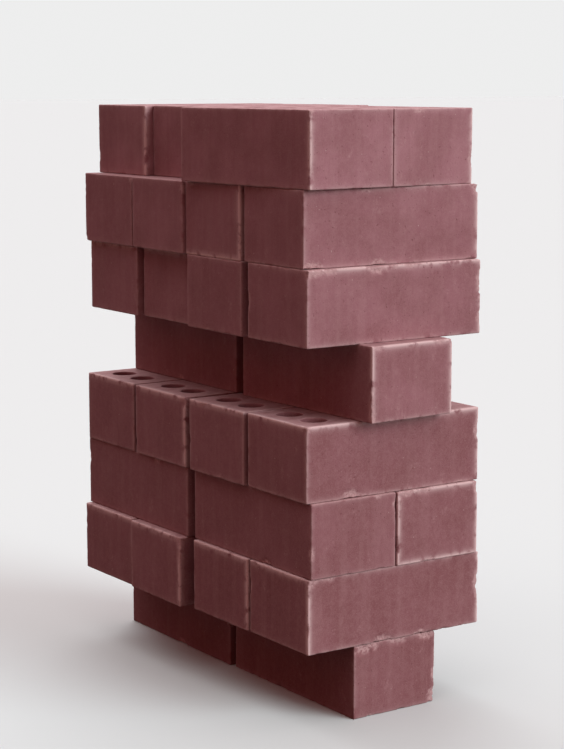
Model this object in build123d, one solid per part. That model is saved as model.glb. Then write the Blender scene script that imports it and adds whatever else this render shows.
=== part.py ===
from build123d import *
import os
from math import cos, radians, sin

# A free-standing stack of loose bricks, laid dry by hand in two columns, one behind
# the other. X runs along the front face, Y into the depth, Z up. Sizes are in mm.

# One brick: a pressed brick whose two widths and a mortar joint make one length.
brick_length = 250.0
mortar_joint = 10.0
brick_width = (brick_length - mortar_joint) / 2
brick_height = 88.0
arris_chamfer = 1.0

# Its blind round holes, sunk from the upper bed face in two rows.
hole_diameter = 30.0
hole_floor = 13.0
end_wall = 20.0
side_wall = 21.0
holes_along = 4
holes_across = 2

# How the bricks lie, course by course from the ground up, the near column first. A
# single, left or right brick points into the depth, a front or back brick lies across.
# Each line gives the brick's place, then how far back it lies from the brick in front
# of it (from the face of the stack if there is none), how far it lies aside, and its
# turn in degrees. Aside is from the middle of the stack, for a left brick from the
# stack's left side, and for a right brick from the left brick.
courses = [
    (
        [("single", 0.0, 1.0, 0.4)],
        [("single", 7.0, -1.0, -0.5)],
    ),
    (
        [("front", -1.0, 1.0, 0.0), ("back", 3.0, -1.0, 0.2)],
        [("front", 16.5, -11.0, 0.0), ("back", 4.5, -8.0, 0.3)],
    ),
    (
        [("left", -3.0, 4.0, 0.0), ("right", -4.0, 2.0, 0.0)],
        [("left", 10.0, 0.0, 0.0), ("right", 11.0, 6.0, 0.0)],
    ),
    (
        [("front", 0.0, -1.0, 0.0), ("back", 5.0, -4.0, 0.2)],
        [("front", 10.0, -4.0, 0.0), ("back", 5.5, -3.0, -0.2)],
    ),
    (
        [("single", -22.5, 3.0, 2.5)],
        [("single", 15.0, 1.0, 0.0)],
    ),
    (
        [("front", 1.0, 0.0, 0.0), ("back", 9.0, -3.0, 0.0)],
        [("front", 1.0, 7.0, 0.0), ("back", 4.0, 0.0, 0.0)],
    ),
    (
        [("front", 8.0, 0.0, 0.0), ("back", 4.5, -3.0, 0.0)],
        [("front", 0.5, -7.0, 0.0), ("back", 4.0, -6.0, 0.2)],
    ),
    (
        [("left", -3.0, -12.2, 3.0), ("right", 3.3, 0.5, 3.0)],
        [("front", 0.5, 28.0, 0.0), ("back", 0.5, 17.0, 0.0)],
    ),
]

# The courses whose upper faces are open to view: the ledges beside the upper single
# bricks, and the top. In all others the holes are shut in, and are left solid.
open_courses = (4, 8)


def solid_brick():
    """A brick with its arrises just broken, lying along X on Z = 0."""
    on_ground = (Align.CENTER, Align.CENTER, Align.MIN)
    block = Box(brick_length, brick_width, brick_height, align=on_ground)
    return chamfer(block.edges(), arris_chamfer)


def holed_brick():
    """The same brick with its blind holes, evenly spaced between the outer walls."""
    pitch_x = (brick_length - 2 * end_wall - hole_diameter) / (holes_along - 1)
    pitch_y = (brick_width - 2 * side_wall - hole_diameter) / (holes_across - 1)
    downwards = (Align.CENTER, Align.CENTER, Align.MAX)
    drill = Cylinder(hole_diameter / 2, brick_height - hole_floor, align=downwards)
    mouths = GridLocations(pitch_x, pitch_y, holes_along, holes_across)
    return solid_brick() - [Pos(0, 0, brick_height) * mouth * drill for mouth in mouths]


def half_extents(turn):
    """Half the width and half the depth that a brick takes up in plan at this turn."""
    along = abs(cos(radians(turn)))
    across = abs(sin(radians(turn)))
    half_x = (brick_length * along + brick_width * across) / 2
    half_y = (brick_length * across + brick_width * along) / 2
    return half_x, half_y


def lay_course(columns):
    """Name, X, Y and turn of each brick in one course, laid from the front to the rear."""
    laid = []
    column_start = 0.0
    for label, bricks in zip(("near", "far"), columns):
        rear = column_start
        for place, back, aside, small_turn in bricks:
            turn = small_turn if place in ("front", "back") else 90.0 + small_turn
            half_x, half_y = half_extents(turn)
            in_front = rear if place == "back" else column_start
            y = in_front + back + half_y
            x = aside
            if place == "left":
                x = aside + half_x - brick_length / 2
            if place == "right":
                x = left_brick_x + brick_width / cos(radians(small_turn)) + aside
            left_brick_x = x
            rear = max(rear, y + half_y)
            laid.append((f"{label}_column", f"{place}_brick", x, y, turn))
        column_start = rear
    return laid


def stack():
    """Every brick by node name, with the origin under the middle of the whole stack."""
    plain = solid_brick()
    holed = holed_brick()
    bricks = {}
    for number, columns in enumerate(courses, start=1):
        brick = holed if number in open_courses else plain
        z = (number - 1) * brick_height
        for column, place, x, y, turn in lay_course(columns):
            bricks[f"{column}_course_{number}_{place}"] = Pos(x, y, z) * Rot(0, 0, turn) * brick
    whole = Compound(children=[brick.solid() for brick in bricks.values()]).bounding_box()
    to_origin = Pos(-whole.center().X, -whole.center().Y, 0)
    return {name: to_origin * brick for name, brick in bricks.items()}


os.makedirs("parts", exist_ok=True)
for name, brick in stack().items():
    export_step(brick.solid(), f"parts/{name}.step")
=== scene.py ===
import math
import random

import bpy
import numpy as np
from mathutils import Matrix, Vector, noise


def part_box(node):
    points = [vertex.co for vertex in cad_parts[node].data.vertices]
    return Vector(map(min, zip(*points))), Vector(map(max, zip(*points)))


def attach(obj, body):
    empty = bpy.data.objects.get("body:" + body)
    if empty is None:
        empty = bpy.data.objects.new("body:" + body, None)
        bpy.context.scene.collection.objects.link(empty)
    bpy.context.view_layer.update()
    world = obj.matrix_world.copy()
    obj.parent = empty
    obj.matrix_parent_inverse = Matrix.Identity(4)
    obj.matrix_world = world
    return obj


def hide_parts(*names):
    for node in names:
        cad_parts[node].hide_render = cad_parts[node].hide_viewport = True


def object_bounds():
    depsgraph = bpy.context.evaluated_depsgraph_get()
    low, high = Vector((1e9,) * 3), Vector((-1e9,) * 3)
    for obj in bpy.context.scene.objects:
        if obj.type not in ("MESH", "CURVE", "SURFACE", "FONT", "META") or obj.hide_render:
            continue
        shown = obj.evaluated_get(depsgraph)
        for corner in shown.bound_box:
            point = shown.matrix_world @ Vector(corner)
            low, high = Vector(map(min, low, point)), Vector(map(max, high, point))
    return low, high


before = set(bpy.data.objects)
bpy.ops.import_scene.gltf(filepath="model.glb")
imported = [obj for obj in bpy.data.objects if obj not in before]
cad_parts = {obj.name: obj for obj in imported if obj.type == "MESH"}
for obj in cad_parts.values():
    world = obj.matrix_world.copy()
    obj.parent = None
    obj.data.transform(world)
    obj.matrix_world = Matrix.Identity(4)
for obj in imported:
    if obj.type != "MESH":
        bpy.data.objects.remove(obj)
cad_low, cad_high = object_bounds()

# Foot of the stack, course 1
# Two pressed bricks of dusty rose clay lie end on to the front, one under each column,
# and carry everything above. Each is one moulded piece with straight sides and crisp
# arrises, laid dry on the ground, and a little crumbled along its upper front arris.

brick_length = 0.250
brick_width = 0.120
brick_height = 0.088

# The mesh lines of a brick lie close together along its arrises, and closer on the faces
# of the bricks that begin within 40 mm of the front of the stack.
arris_rulings = (0.0, 0.0006, 0.0012, 0.0021, 0.0036)
fine_ruling = 0.0024
coarse_ruling = 0.0044
fine_until = cad_low.y + 0.04


def rulings(span, face_ruling):
    """Places of the mesh lines across one side, closer together towards its arrises."""
    edge = arris_rulings[-1]
    count = round((span - 2 * edge) / face_ruling)
    middle = np.linspace(-span / 2 + edge, span / 2 - edge, count + 1)[1:-1]
    left = [-span / 2 + ruling for ruling in arris_rulings]
    right = [span / 2 - ruling for ruling in reversed(arris_rulings)]
    return [*left, *middle, *right]


def ruled_block(face_ruling):
    """Corner points and faces of a sharp brick, its underside on Z = 0."""
    lines = [rulings(span, face_ruling) for span in (brick_length, brick_width, brick_height)]
    last = [len(line) - 1 for line in lines]
    points, faces, known = [], [], {}

    def corner(spot):
        if spot not in known:
            known[spot] = len(points)
            points.append([line[step] for line, step in zip(lines, spot)])
        return known[spot]

    for axis in range(3):
        across, up = (axis + 1) % 3, (axis + 2) % 3
        for end in (0, last[axis]):
            for i in range(last[across]):
                for j in range(last[up]):
                    face = []
                    for step_i, step_j in ((0, 0), (1, 0), (1, 1), (0, 1)):
                        spot = [0, 0, 0]
                        spot[axis], spot[across], spot[up] = end, i + step_i, j + step_j
                        face.append(corner(tuple(spot)))
                    faces.append(face if end else face[::-1])
    points = np.array(points)
    points[:, 2] += brick_height / 2
    return points, faces


blocks = {"fine": ruled_block(fine_ruling), "coarse": ruled_block(coarse_ruling)}
block_half = np.array([brick_length, brick_width, brick_height]) / 2
block_middle = np.array([0, 0, brick_height / 2])

grain_falloff = 0.6
grain_gap = 2.0
seed_shift = (3.17, 1.71, 2.39)


def grain(points, size, seed, detail=3):
    """Smooth noise from about -1 to 1 at each point, with lumps of this size."""
    shift = Vector([seed * step for step in seed_shift])
    places = [Vector(point) / size + shift for point in points]
    return np.array([noise.fractal(spot, grain_falloff, grain_gap, detail) for spot in places])


def from_arris(points):
    """How far each point lies from the nearest arris of the brick, along the face."""
    inside = np.sort(block_half - np.abs(points - block_middle), axis=1)
    return np.hypot(np.maximum(inside[:, 0], 0), np.maximum(inside[:, 1], 0))


# Arrises are painted pale this far in, as wear and painted highlight; the listed ones get a painted
# highlight this strong and this wide.
wear_and_highlight_reach = 0.0022
highlight_arris_strength = 2.2
highlight_arris_reach = 0.0024


def wear_and_highlight_along(points, wear_and_highlight, highlighted_arrises):
    """How pale each point is painted: on all arrises a little, as wear and painted highlight,
    on the highlighted arrises most, as painted highlight.

    A highlighted arris is named by the side of the brick's middle that it lies on along each
    of the brick's own axes, with 0 for the axis that it runs along.
    """
    amount = wear_and_highlight * np.exp(-from_arris(points) / wear_and_highlight_reach)
    for arris in highlighted_arrises:
        off_line = np.abs(points - block_middle - np.array(arris) * block_half) * np.abs(arris)
        away = np.linalg.norm(off_line, axis=1)
        amount = np.maximum(amount, highlight_arris_strength * np.exp(-away / highlight_arris_reach))
    return amount


# Every handled brick has small knocks, twice as often along its long arrises as along
# each of the others.
knocks_on_brick = 6
knocked_axes = (0, 0, 1, 2)
knock_size = 0.0022
knock_size_range = 0.0048
knock_depth_shares = (0.15, 0.28)


def small_knocks(seed):
    """Places, sizes and depths of the small knocks along one brick's arrises."""
    draw = random.Random(seed)
    knocks = []
    for _ in range(knocks_on_brick):
        spot = [draw.uniform(-1, 1) for _ in range(3)]
        along = draw.choice(knocked_axes)
        for axis in range(3):
            if axis != along:
                spot[axis] = draw.choice((-1, 1))
        size = knock_size + knock_size_range * draw.random() ** 2
        x, y, z = block_middle + np.array(spot) * block_half
        knocks.append((x, y, z, size, size * draw.uniform(*knock_depth_shares)))
    return knocks


# The seed keeps the ragged rims of the chips the same on each run.
noise.seed_set(5)

# A chip is drawn out along the sides that its middle is well within, and bites in from
# those that it lies close to. These are shares of half the brick.
chip_within_share = 0.95
chip_close_share = 0.90
chip_drawn_out = 0.6
chip_reach = 1.5
chip_slope = 1.9
chip_rim_size = 0.0042
chip_rim_share = 0.42
chip_rim_shift = 900


def chip_share(points, chip):
    """How deep each point lies in a chip, from 0 at its ragged rim to 1 on its floor."""
    centre, size = np.array(chip[:3]), chip[3]
    well_within = np.abs(centre - block_middle) < block_half * chip_within_share
    drawn_out = np.where(well_within, chip_drawn_out, 1.0)
    share = np.zeros(len(points))
    from_centre = (points - centre) * drawn_out
    close = np.flatnonzero(np.linalg.norm(from_centre, axis=1) < chip_reach * size)
    if len(close):
        shift = Vector((size * chip_rim_shift, 0, 0))
        places = [Vector(point) / chip_rim_size + shift for point in points[close]]
        ragged = np.array([noise.noise_vector(spot) for spot in places])
        away = np.linalg.norm(from_centre[close] + ragged * chip_rim_share * size, axis=1)
        share[close] = np.clip(chip_slope * (1 - (away / size) ** 2), 0, 1)
    return share


# The arrises are rounded this much, a little unevenly, and more where they crumble. The
# faces are slightly sunk, and the floor of a chip is rough.
arris_radius = 0.0014
uneven_radius = 0.0003
uneven_size = 0.006
crumbled_radius = 0.0036
crumble_size = 0.018
crumble_from = 0.42
sunk_depth = 0.00016
sunk_size = 0.050
chip_floor_depth = 0.80
chip_floor_roughness = 0.60
chip_floor_size = 0.0040
seed_step = 40


def worn_block(block_points, seed, chips):
    """The brick's points with softened, crumbled arrises, sunk faces and these chips."""
    crumble = np.clip(grain(block_points, crumble_size, seed) - crumble_from, 0, 1)
    uneven = np.abs(grain(block_points, uneven_size, seed + seed_step, detail=2))
    radius = arris_radius + uneven_radius * uneven + crumbled_radius * crumble
    offset = block_points - block_middle
    core = np.clip(offset, -(block_half - radius[:, None]), block_half - radius[:, None])
    outward = offset - core
    reach = np.linalg.norm(outward, axis=1)
    points = block_middle + core + outward / reach[:, None] * radius[:, None]
    sunk = sunk_depth * (1 + grain(block_points, sunk_size, seed + 2 * seed_step, detail=2))
    points = block_middle + (points - block_middle) * (1 - sunk[:, None] / block_half.max())
    rough = grain(block_points, chip_floor_size, seed + 3 * seed_step, detail=2)
    depth = chip_floor_depth + chip_floor_roughness * rough
    for chip in chips:
        inward = block_middle - np.array(chip[:3])
        inward[np.abs(inward) < block_half * chip_close_share] = 0
        inward = inward / np.linalg.norm(inward)
        points += inward * (chip_share(block_points, chip) * depth)[:, None] * chip[4]
    return points


def lay_of(node):
    """Where a brick lies in the stack, as the matrix from its own axes to the frame's.

    A brick that lies across has its own -Y face in front, and one that points into the
    depth has its own -X end in front.
    """
    low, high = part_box(node)
    plan = np.array([vertex.co[:2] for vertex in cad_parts[node].data.vertices])
    plan -= plan.mean(axis=0)
    along = np.linalg.eigh(plan.T @ plan)[1][:, 1]
    turn = math.atan2(along[1], along[0])
    turn = (turn + math.pi / 4) % math.pi - math.pi / 4
    centre = (low + high) / 2
    return Matrix.Translation((centre.x, centre.y, low.z)) @ Matrix.Rotation(turn, 4, "Z")


# The clay is a matt dusty rose, painted darker and redder towards the foot of the stack,
# which is painted shade, with a little tone that differs from brick to brick. It is paler
# with brick dust on chips and upper faces, and its arrises are painted pale, with wear and
# dust and with painted highlights. The press drew faint upright bands and fine marks down
# its sides, and its skin has sandy grain, pinholes painted dark with painted shade, and a
# few pale specks.

clay = bpy.data.materials.new("pressed_clay")
clay.use_nodes = True
clay_nodes = clay.node_tree.nodes
clay_links = clay.node_tree.links
clay_nodes.clear()

deep_rose = (0.282, 0.115, 0.134, 1)
pale_rose = (0.345, 0.150, 0.178, 1)
dark_red_and_painted_shade = (0.176, 0.052, 0.055, 1)
brick_dust = (0.520, 0.310, 0.320, 1)
pale_wear_and_highlight = (0.680, 0.470, 0.480, 1)
lime_speck = (0.620, 0.460, 0.450, 1)


def wire(source, target):
    """Joins a node's named output, or a plain value, to another node's input socket."""
    if isinstance(source, bpy.types.NodeSocket):
        clay_links.new(source, target)
    else:
        target.default_value = source


def clay_value(place, size, detail=3.0, roughness=0.55):
    """A noise value that has lumps of this size in metres at this place on the brick."""
    made = clay_nodes.new("ShaderNodeTexNoise")
    made.inputs["Scale"].default_value = 1 / size
    made.inputs["Detail"].default_value = detail
    made.inputs["Roughness"].default_value = roughness
    wire(place, made.inputs["Vector"])
    return made.outputs["Fac"]


def stepped(value, none_at, full_at):
    """The value's step from 0 at the first of these to 1 at the second."""
    made = clay_nodes.new("ShaderNodeMapRange")
    made.interpolation_type = "SMOOTHSTEP"
    wire(value, made.inputs["Value"])
    made.inputs["From Min"].default_value = none_at
    made.inputs["From Max"].default_value = full_at
    return made.outputs["Result"]


def worked(operation, first, second):
    """One sum of arithmetic on two values."""
    made = clay_nodes.new("ShaderNodeMath")
    made.operation = operation
    wire(first, made.inputs[0])
    wire(second, made.inputs[1])
    return made.outputs["Value"]


def added(value, extra, share):
    """A value with this share of another added."""
    return worked("ADD", value, worked("MULTIPLY", extra, share))


def blended(share, under, over):
    """One colour over another by this share."""
    made = clay_nodes.new("ShaderNodeMix")
    made.data_type = "RGBA"
    wire(share, made.inputs["Factor"])
    wire(under, made.inputs["A"])
    wire(over, made.inputs["B"])
    return made.outputs["Result"]


def laid_over(under, over, value, share):
    """One colour over another, by this share of the value."""
    return blended(worked("MULTIPLY", value, share), under, over)


def drawn_up(place, squeeze):
    """The place on the brick, squeezed upwards so that the noise in it is drawn out."""
    made = clay_nodes.new("ShaderNodeVectorMath")
    made.operation = "MULTIPLY"
    wire(place, made.inputs[0])
    made.inputs[1].default_value = (1, 1, squeeze)
    return made.outputs["Vector"]


def brick_value(name, output="Fac"):
    """A value kept on the brick's own mesh."""
    made = clay_nodes.new("ShaderNodeAttribute")
    made.attribute_name = name
    return made.outputs[output]


place = brick_value("place_on_brick", "Vector")
chipped = brick_value("chipped")
skin_way = clay_nodes.new("ShaderNodeSeparateXYZ")
wire(clay_nodes.new("ShaderNodeTexCoord").outputs["Normal"], skin_way.inputs["Vector"])
facing_up = stepped(skin_way.outputs["Z"], none_at=0.35, full_at=0.9)

cloudy = stepped(clay_value(place, size=0.055), none_at=0.34, full_at=0.66)
colour = blended(cloudy, deep_rose, pale_rose)
# Painted shade: each brick's kept value mixes its clay darker and redder, most at the foot of the
# stack and not at all at the top.
colour = blended(brick_value("dark_tone_and_painted_shade"), colour, dark_red_and_painted_shade)
mottled = stepped(clay_value(place, size=0.0075, detail=5, roughness=0.65), none_at=0.38, full_at=0.68)
colour = laid_over(colour, brick_dust, mottled, share=0.11)
scuffed = clay_value(drawn_up(place, squeeze=0.6), size=0.016, detail=5, roughness=0.7)
scuff_grain = stepped(clay_value(place, size=0.0030), none_at=0.42, full_at=0.62)
scuffed = worked("MULTIPLY", stepped(scuffed, none_at=0.56, full_at=0.72), scuff_grain)
colour = laid_over(colour, brick_dust, scuffed, share=0.30)
bands = clay_value(drawn_up(place, squeeze=0.06), size=0.013, detail=2)
colour = laid_over(colour, brick_dust, stepped(bands, none_at=0.44, full_at=0.64), share=0.07)
press_marks = clay_value(drawn_up(place, squeeze=0.05), size=0.0042, detail=4, roughness=0.6)
colour = laid_over(colour, dark_red_and_painted_shade, stepped(press_marks, none_at=0.52, full_at=0.75), share=0.13)
sandy = stepped(clay_value(place, size=0.0012, detail=2), none_at=0.40, full_at=0.66)
colour = laid_over(colour, brick_dust, sandy, share=0.12)
settled = stepped(clay_value(place, size=0.018, detail=4), none_at=0.10, full_at=0.62)
colour = laid_over(colour, brick_dust, worked("MULTIPLY", facing_up, settled), share=0.60)
# Painted highlight: arrises are painted pale by the kept value, a little on all as wear and highlight,
# most on the listed ones.
wear_and_highlight_grain = stepped(clay_value(place, size=0.014), none_at=0.28, full_at=0.54)
colour = laid_over(colour, pale_wear_and_highlight, brick_value("worn_and_highlighted"), share=wear_and_highlight_grain)
chip_grain = stepped(clay_value(place, size=0.0028), none_at=0.28, full_at=0.55)
colour = laid_over(colour, brick_dust, chipped, share=chip_grain)
speck = stepped(clay_value(place, size=0.0034, detail=1), none_at=0.775, full_at=0.80)
colour = laid_over(colour, lime_speck, speck, share=0.45)
# Pinholes are painted dark, which is painted shade inside them; the same mask also sinks them in the
# bump.
pinhole_and_painted_shade = stepped(clay_value(place, size=0.0026, detail=1), none_at=0.285, full_at=0.245)
colour = laid_over(colour, dark_red_and_painted_shade, pinhole_and_painted_shade, share=0.55)

height = added(0.0, clay_value(place, size=0.0010), share=0.38)
height = added(height, press_marks, share=0.25)
height = added(height, mottled, share=0.15)
height = added(height, pinhole_and_painted_shade, share=-0.9)
broken_clay = worked("MULTIPLY", chipped, clay_value(place, size=0.0032, detail=4, roughness=0.7))
height = added(height, broken_clay, share=1.6)
bump = clay_nodes.new("ShaderNodeBump")
bump.inputs["Strength"].default_value = 0.60
bump.inputs["Distance"].default_value = 0.0009
wire(height, bump.inputs["Height"])

surface = clay_nodes.new("ShaderNodeBsdfPrincipled")
surface.inputs["Specular IOR Level"].default_value = 0.22
wire(colour, surface.inputs["Base Color"])
wire(added(0.84, mottled, share=0.10), surface.inputs["Roughness"])
wire(bump.outputs["Normal"], surface.inputs["Normal"])
wire(surface.outputs["BSDF"], clay_nodes.new("ShaderNodeOutputMaterial").inputs["Surface"])


def keep_value(mesh, name, values):
    """Keeps one number for each of the mesh's points, for the clay to read."""
    mesh.attributes.new(name, "FLOAT", "POINT").data.foreach_set("value", values)


# No two bricks show the same part of the clay's noise, and faces that meet at more than
# this angle meet in a crease.
clay_shift = np.array([0.731, 0.417, 0.293])
crease_angle = math.radians(50)


def finish_brick(node, mesh, seed, dark_tone_and_painted_shade, wear_and_highlight, chips, highlighted_arrises):
    """Keeps the clay's values on the mesh, lays the brick where its node lies, and hands it over."""
    points = np.array([vertex.co for vertex in mesh.vertices])
    places = mesh.attributes.new("place_on_brick", "FLOAT_VECTOR", "POINT")
    places.data.foreach_set("vector", (points + seed * clay_shift).ravel())
    broken = np.zeros(len(points))
    for chip in chips:
        broken = np.maximum(broken, chip_share(points, chip))
    keep_value(mesh, "worn_and_highlighted", wear_and_highlight_along(points, wear_and_highlight, highlighted_arrises))
    keep_value(mesh, "chipped", broken)
    keep_value(mesh, "dark_tone_and_painted_shade", np.full(len(points), dark_tone_and_painted_shade))
    mesh.transform(lay_of(node))
    mesh.shade_smooth()
    mesh.set_sharp_from_angle(angle=crease_angle)
    mesh.materials.clear()
    mesh.materials.append(clay)
    piece = bpy.data.objects.new("clay_" + node, mesh)
    bpy.context.scene.collection.objects.link(piece)
    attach(piece, "root")
    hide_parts(node)


def worn_mesh(node, seed, chips):
    """The mesh of a worn brick, finer near the front of the stack."""
    near_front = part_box(node)[0].y < fine_until
    points, faces = blocks["fine" if near_front else "coarse"]
    mesh = bpy.data.meshes.new(node)
    mesh.from_pydata(worn_block(points, seed, chips).tolist(), [], faces)
    return mesh


def plain_brick(node, seed, dark_tone_and_painted_shade, wear_and_highlight, chips=(), highlighted_arrises=()):
    """A brick whose holes are shut in by the course above.

    The dark tone says how dark and red its clay is painted, mostly painted shade that grows
    towards the foot of the stack; the arris value says how pale its arrises are painted, as
    wear and painted highlight. Each chip is given by the place of its middle on the brick,
    its size and its depth.
    """
    chips = [*chips, *small_knocks(seed)]
    finish_brick(node, worn_mesh(node, seed, chips), seed, dark_tone_and_painted_shade, wear_and_highlight, chips, highlighted_arrises)


# In each brick the third value is mostly painted shade, highest at the foot of the stack, and the
# fourth is arris wear and painted highlight.
plain_brick("near_column_course_1_single_brick", 11, 0.62, 0.44, (
    (-0.125, 0.041, 0.088, 0.012, 0.0024),
    (-0.125, -0.006, 0.088, 0.008, 0.0018),
    (-0.125, -0.047, 0.088, 0.010, 0.0020),
    (-0.125, -0.060, 0.003, 0.012, 0.0018),
))
plain_brick("far_column_course_1_single_brick", 12, 0.60, 0.28, (
    (-0.125, 0.060, 0.070, 0.012, 0.0026),
))

# Courses 2 and 3
# Course 2 lies across the foot bricks and reaches past them on both sides. Course 3 points
# into the depth, its near right brick with painted highlights all round the front end. They
# are the same pressed bricks, laid dry, and knocked a little at the corners.

# Each line gives the brick's node, the seed of its wear, its dark tone (mostly painted
# shade), its arris wear and painted highlight, its chips and its arrises with painted
# highlights.
course_2_and_3 = (
    ("near_column_course_2_front_brick", 21, 0.60, 0.61, (
        (-0.119, -0.060, 0.088, 0.010, 0.0018),
        (-0.096, -0.060, 0.088, 0.006, 0.0012),
        (0.125, -0.060, 0.052, 0.009, 0.0015),
        (-0.018, -0.060, 0.000, 0.009, 0.0018),
        (0.036, -0.060, 0.000, 0.006, 0.0012),
    ), ((-1, 0, 1), (-1, -1, 0), (1, -1, 0))),
    ("near_column_course_2_back_brick", 22, 0.58, 0.50, (), ((-1, 0, 1), (-1, -1, 0))),
    ("far_column_course_2_front_brick", 23, 0.50, 0.50, (
        (-0.125, -0.060, 0.086, 0.011, 0.0024),
    ), ((-1, 0, 1), (-1, -1, 0))),
    ("far_column_course_2_back_brick", 24, 0.52, 0.39, (), ((-1, 0, 1),)),
    ("near_column_course_3_left_brick", 31, 0.50, 0.39, (
        (-0.125, 0.060, 0.030, 0.006, 0.0012),
    ), ()),
    ("near_column_course_3_right_brick", 32, 0.52, 0.77, (
        (-0.125, 0.050, 0.088, 0.009, 0.0016),
        (-0.125, 0.019, 0.088, 0.007, 0.0014),
        (-0.125, -0.060, 0.085, 0.008, 0.0020),
    ), ((-1, 0, 1), (-1, 1, 0), (-1, -1, 0), (-1, 0, -1))),
    ("far_column_course_3_left_brick", 33, 0.56, 0.33, (), ()),
    ("far_column_course_3_right_brick", 34, 0.52, 0.33, (), ()),
)
for node, seed, dark_tone_and_painted_shade, wear_and_highlight, chips, highlighted_arrises in course_2_and_3:
    plain_brick(node, seed, dark_tone_and_painted_shade, wear_and_highlight, chips, highlighted_arrises)

# Course 4, the ledges
# Four bricks laid across, whose upper faces stand open beside the narrow course above.
# They show the blind round holes of this brick: two rows of four, sunk by tapered
# punches and closed by a rounded floor, with worn mouths and dust on the face.

holes_along = 4
holes_across = 2
hole_pitch_along = 0.060
hole_pitch_across = 0.048
hole_radius = 0.015
hole_floor = 0.013
punch_ragged = 0.0004
punch_ragged_size = 0.005

# The radius and height of each ring of a punch, from the middle of its tip to above the
# brick.
punch_sides = 40
punch_profile = (
    (0.0, hole_floor),
    (0.006, hole_floor + 0.0002),
    (0.0105, hole_floor + 0.0012),
    (0.0138, hole_floor + 0.0045),
    (0.0146, hole_floor + 0.010),
    (hole_radius, 0.050),
    (hole_radius, 0.0845),
    (0.0152, 0.0866),
    (0.0158, 0.0876),
    (0.0175, 0.0893),
    (0.0, 0.0893),
)


def punches(seed):
    """The eight punches of one brick as one mesh, a little ragged all round."""
    points, faces = [], []
    rings = len(punch_profile) - 2
    shift = Vector((seed, 0, 0))
    for along in range(holes_along):
        for across in range(holes_across):
            x = (along - (holes_along - 1) / 2) * hole_pitch_along
            y = (across - (holes_across - 1) / 2) * hole_pitch_across
            start = len(points)
            points.append((x, y, punch_profile[0][1]))
            for radius, z in punch_profile[1:-1]:
                for side in range(punch_sides):
                    angle = 2 * math.pi * side / punch_sides
                    spot = Vector((x + radius * math.cos(angle), y + radius * math.sin(angle), z))
                    ragged = radius + punch_ragged * noise.noise(spot / punch_ragged_size + shift)
                    points.append((x + ragged * math.cos(angle), y + ragged * math.sin(angle), z))
            points.append((x, y, punch_profile[-1][1]))
            first, last = start + 1, start + 1 + (rings - 1) * punch_sides
            for side in range(punch_sides):
                turn = (side + 1) % punch_sides
                faces.append((start, first + turn, first + side))
                faces.append((start + 1 + rings * punch_sides, last + side, last + turn))
                for ring in range(rings - 1):
                    below, above = first + ring * punch_sides, first + (ring + 1) * punch_sides
                    faces.append((below + side, below + turn, above + turn, above + side))
    mesh = bpy.data.meshes.new("punches")
    mesh.from_pydata(points, [], faces)
    return mesh


def holed_brick(node, seed, dark_tone_and_painted_shade, wear_and_highlight, chips=(), highlighted_arrises=()):
    """A brick with its eight holes open, from the same values as a plain one."""
    chips = [*chips, *small_knocks(seed)]
    body = bpy.data.objects.new("body", worn_mesh(node, seed, chips))
    punch = bpy.data.objects.new("punch", punches(seed))
    for made in (body, punch):
        bpy.context.scene.collection.objects.link(made)
    cut = body.modifiers.new("holes", "BOOLEAN")
    cut.object = punch
    cut.solver = "EXACT"
    holed = bpy.data.meshes.new_from_object(body.evaluated_get(bpy.context.evaluated_depsgraph_get()))
    bpy.data.objects.remove(body)
    bpy.data.objects.remove(punch)
    finish_brick(node, holed, seed, dark_tone_and_painted_shade, wear_and_highlight, chips, highlighted_arrises)


course_4 = (
    ("near_column_course_4_front_brick", 41, 0.52, 0.77, (
        (-0.063, -0.060, 0.001, 0.009, 0.0017),
        (-0.125, -0.060, 0.087, 0.007, 0.0016),
        (-0.052, -0.060, 0.088, 0.005, 0.0010),
        (0.125, -0.060, 0.060, 0.008, 0.0014),
    ), ((-1, 0, 1), (0, -1, 1), (1, -1, 0))),
    ("near_column_course_4_back_brick", 42, 0.48, 0.66, (
        (-0.125, 0.028, 0.088, 0.008, 0.0015),
    ), ((-1, 0, 1),)),
    ("far_column_course_4_front_brick", 43, 0.50, 0.61, (
        (-0.125, -0.060, 0.088, 0.011, 0.0026),
    ), ((-1, 0, 1), (-1, -1, 0))),
    ("far_column_course_4_back_brick", 44, 0.50, 0.55, (), ((-1, 0, 1),)),
)
for node, seed, dark_tone_and_painted_shade, wear_and_highlight, chips, highlighted_arrises in course_4:
    holed_brick(node, seed, dark_tone_and_painted_shade, wear_and_highlight, chips, highlighted_arrises)

# Waist of the stack, course 5
# One pressed brick points into the depth in each column, as at the foot, laid dry with an
# open ledge on both sides. The near one stands forward of the face, and its front end has
# painted highlights along the top and on both sides.

plain_brick("near_column_course_5_single_brick", 51, 0.22, 0.66, (
    (-0.125, 0.060, 0.010, 0.007, 0.0015),
    (-0.125, -0.040, 0.088, 0.006, 0.0012),
), ((-1, 0, 1), (-1, 1, 0), (-1, -1, 0)))
plain_brick("far_column_course_5_single_brick", 52, 0.40, 0.33)

# Courses 6 and 7
# Eight pressed bricks laid dry and across, two deep in each column, their faces nearly in
# line. The arris between the two courses is the most crumbled of the whole front, and
# both right ends of the front have a painted highlight along the arris.

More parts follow.
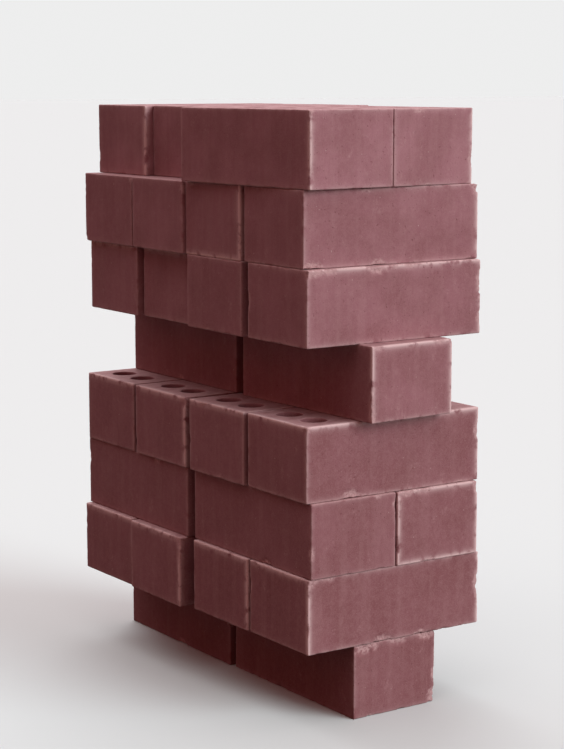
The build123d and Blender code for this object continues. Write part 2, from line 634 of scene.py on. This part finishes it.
course_6_and_7 = (
    ("near_column_course_6_front_brick", 61, 0.22, 0.72, (
        (-0.117, -0.060, 0.088, 0.011, 0.0023),
        (-0.091, -0.060, 0.088, 0.007, 0.0014),
        (-0.026, -0.060, 0.088, 0.010, 0.0020),
        (-0.003, -0.060, 0.088, 0.005, 0.0010),
        (0.021, -0.060, 0.088, 0.006, 0.0013),
        (0.125, -0.060, 0.062, 0.009, 0.0018),
        (0.124, -0.060, 0.020, 0.006, 0.0012),
    ), ((0, -1, 1), (1, -1, 0))),
    ("near_column_course_6_back_brick", 62, 0.32, 0.44, (), ()),
    ("far_column_course_6_front_brick", 63, 0.22, 0.61, (
        (-0.125, -0.060, 0.086, 0.009, 0.0022),
    ), ((-1, 0, 1),)),
    ("far_column_course_6_back_brick", 64, 0.28, 0.44, (), ((-1, 0, 1),)),
    ("near_column_course_7_front_brick", 71, 0.17, 0.66, (
        (-0.112, -0.060, 0.000, 0.009, 0.0017),
        (-0.020, -0.060, 0.000, 0.007, 0.0013),
        (0.124, -0.060, 0.087, 0.011, 0.0030),
    ), ((1, -1, 0),)),
    ("near_column_course_7_back_brick", 72, 0.24, 0.39, (), ((-1, 0, -1), (-1, -1, 0))),
    ("far_column_course_7_front_brick", 73, 0.18, 0.44, (), ()),
    ("far_column_course_7_back_brick", 74, 0.22, 0.39, (
        (-0.125, -0.060, 0.088, 0.008, 0.0018),
    ), ()),
)
for node, seed, dark_tone_and_painted_shade, wear_and_highlight, chips, highlighted_arrises in course_6_and_7:
    plain_brick(node, seed, dark_tone_and_painted_shade, wear_and_highlight, chips, highlighted_arrises)

# Top of the stack, course 8
# Two pressed bricks point into the depth, their far ends a little to the left, and two
# lie across behind them, all laid dry. Their holes stand open to the sky, and these
# bricks are painted the palest of the stack, painted light where the top stands open to
# the sky.

course_8 = (
    ("near_column_course_8_left_brick", 81, 0.0, 0.55, (
        (-0.125, 0.060, 0.087, 0.006, 0.0013),
    ), ((-1, 1, 0),)),
    ("near_column_course_8_right_brick", 82, 0.0, 0.55, (
        (-0.125, -0.060, 0.030, 0.007, 0.0013),
    ), ((-1, -1, 0),)),
    ("far_column_course_8_front_brick", 83, 0.03, 0.55, (), ()),
    ("far_column_course_8_back_brick", 84, 0.05, 0.55, (
        (0.125, 0.060, 0.086, 0.011, 0.0026),
    ), ((-1, -1, 0),)),
)
for node, seed, dark_tone_and_painted_shade, wear_and_highlight, chips, highlighted_arrises in course_8:
    holed_brick(node, seed, dark_tone_and_painted_shade, wear_and_highlight, chips, highlighted_arrises)

# Ground
# A plain pale floor that the stack stands on, wide enough to reach the horizon. The
# camera sees it pale, and to the bricks it is as dark as real paving, so that it throws
# up no more light than that does.

floor_half = 60
paving_seen = (0.689, 0.746, 0.763, 1)
paving_real = (0.09, 0.07, 0.06, 1)

floor_corners = [(x * floor_half, y * floor_half, 0) for x, y in ((-1, -1), (1, -1), (1, 1), (-1, 1))]
floor_mesh = bpy.data.meshes.new("floor")
floor_mesh.from_pydata(floor_corners, [], [(0, 1, 2, 3)])
floor = bpy.data.objects.new("floor", floor_mesh)
bpy.context.scene.collection.objects.link(floor)


def seen_share(tree):
    """1 for rays that carry a view of the surroundings, 0 for rays that carry their light."""
    path = tree.nodes.new("ShaderNodeLightPath")
    share = path.outputs["Is Camera Ray"]
    for ray in ("Is Glossy Ray", "Is Transmission Ray"):
        either = tree.nodes.new("ShaderNodeMath")
        either.operation = "MAXIMUM"
        tree.links.new(share, either.inputs[0])
        tree.links.new(path.outputs[ray], either.inputs[1])
        share = either.outputs["Value"]
    return share


paving = bpy.data.materials.new("pale_floor")
paving.use_nodes = True
paving_tree = paving.node_tree
paving_tree.nodes.clear()
paving_mix = paving_tree.nodes.new("ShaderNodeMix")
paving_mix.data_type = "RGBA"
paving_mix.inputs["A"].default_value = paving_real
paving_mix.inputs["B"].default_value = paving_seen
paving_skin = paving_tree.nodes.new("ShaderNodeBsdfDiffuse")
paving_tree.links.new(seen_share(paving_tree), paving_mix.inputs["Factor"])
paving_tree.links.new(paving_mix.outputs["Result"], paving_skin.inputs["Color"])
paving_end = paving_tree.nodes.new("ShaderNodeOutputMaterial")
paving_tree.links.new(paving_skin.outputs["BSDF"], paving_end.inputs["Surface"])
floor_mesh.materials.append(paving)

# Light
# One broad soft lamp shines from the right of the front, so that the left side lies in
# shade, and a weaker one from behind. Weak light comes from all round, plain from above,
# and from low down the warm red that clay throws back.

fill_above = (1.16, 1.10, 1.08, 1)
fill_low_down = (0.27, 0.055, 0.036, 1)
fill_low_until = 0.60
fill_above_from = 0.85
backdrop_colour = (0.852, 0.852, 0.852, 1)

world = bpy.data.worlds.new("studio")
bpy.context.scene.world = world
world.use_nodes = True
world_tree = world.node_tree
world_tree.nodes.clear()
sky_place = world_tree.nodes.new("ShaderNodeTexCoord")
direction = world_tree.nodes.new("ShaderNodeSeparateXYZ")
world_tree.links.new(sky_place.outputs["Generated"], direction.inputs["Vector"])
height_share = world_tree.nodes.new("ShaderNodeMapRange")
height_share.inputs["From Min"].default_value = fill_low_until
height_share.inputs["From Max"].default_value = fill_above_from
world_tree.links.new(direction.outputs["Z"], height_share.inputs["Value"])
fill_mix = world_tree.nodes.new("ShaderNodeMix")
fill_mix.data_type = "RGBA"
fill_mix.inputs["A"].default_value = fill_low_down
fill_mix.inputs["B"].default_value = fill_above
world_tree.links.new(height_share.outputs["Result"], fill_mix.inputs["Factor"])
fill = world_tree.nodes.new("ShaderNodeBackground")
world_tree.links.new(fill_mix.outputs["Result"], fill.inputs["Color"])
backdrop = world_tree.nodes.new("ShaderNodeBackground")
backdrop.inputs["Color"].default_value = backdrop_colour
world_mix = world_tree.nodes.new("ShaderNodeMixShader")
world_tree.links.new(seen_share(world_tree), world_mix.inputs["Fac"])
world_tree.links.new(fill.outputs["Background"], world_mix.inputs[1])
world_tree.links.new(backdrop.outputs["Background"], world_mix.inputs[2])
world_end = world_tree.nodes.new("ShaderNodeOutputWorld")
world_tree.links.new(world_mix.outputs["Shader"], world_end.inputs["Surface"])

# Each lamp's name, the way it shines, its strength and colour, and its breadth in degrees.
lamps = (
    ("key", Vector((-0.42, 0.80, -0.34)), 2.66, (0.90, 1.0, 1.0), 40),
    ("rear", Vector((-0.25, -0.75, -0.60)), 1.5, (1.0, 1.0, 1.0), 60),
)
for name, towards, strength, tint, breadth in lamps:
    lamp = bpy.data.objects.new(name, bpy.data.lights.new(name, "SUN"))
    lamp.data.energy = strength
    lamp.data.color = tint
    lamp.data.angle = math.radians(breadth)
    lamp.rotation_euler = towards.to_track_quat("-Z", "Y").to_euler()
    bpy.context.scene.collection.objects.link(lamp)

# Camera
# It stands at the height and on the side that the photograph was taken from. Its lens is
# longer, so that the stack fills the frame.

view_from = Vector((-1.3536, -1.9839, 0.7366))
view_to = Vector((-0.0079, -0.010, 0.372))
camera = bpy.data.objects.new("camera", bpy.data.cameras.new("camera"))
bpy.context.scene.collection.objects.link(camera)
camera.data.lens = 93
camera.data.sensor_width = 36
camera.location = view_from
camera.rotation_euler = (view_to - view_from).to_track_quat("-Z", "Y").to_euler()
bpy.context.scene.camera = camera
bpy.context.scene.view_settings.view_transform = "Standard"
